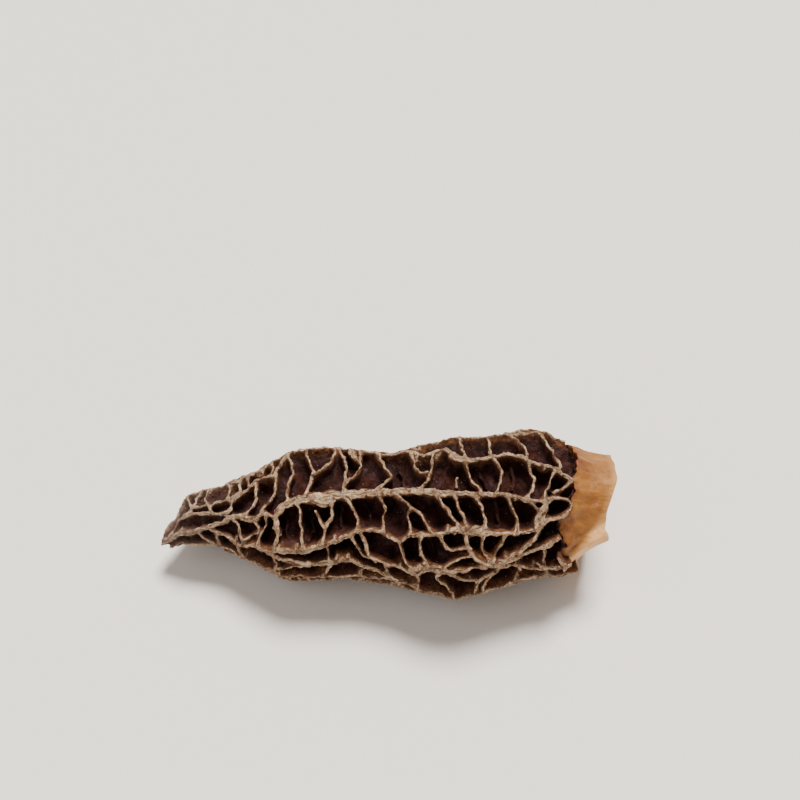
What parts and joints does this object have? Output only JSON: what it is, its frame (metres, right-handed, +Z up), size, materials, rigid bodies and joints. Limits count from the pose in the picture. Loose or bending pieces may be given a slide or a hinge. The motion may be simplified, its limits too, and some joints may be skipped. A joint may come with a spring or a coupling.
{
  "type": "dried morel mushroom",
  "caption": "Hollow dried morel lying on its side: a dark tapering cap with a raised net of ridges and pits, on a short pale cut stem.",
  "frame": {"origin": "middle of the bounding box, on the plane that the body rests on", "axes": "+X along the body, from the tip towards the cut end of the stem; +Y towards the back; +Z up"},
  "size_m": [0.0814, 0.0328, 0.0241],
  "materials": {
    "cap_flesh": "dry matt flesh, almost black brown in the pits, with pale tan crests",
    "stem_flesh": "dry cream tan flesh, smooth to finely wrinkled"
  },
  "bodies": {
    "root": {"cap": "cap_flesh", "stem": "stem_flesh"}
  },
  "joints": []
}
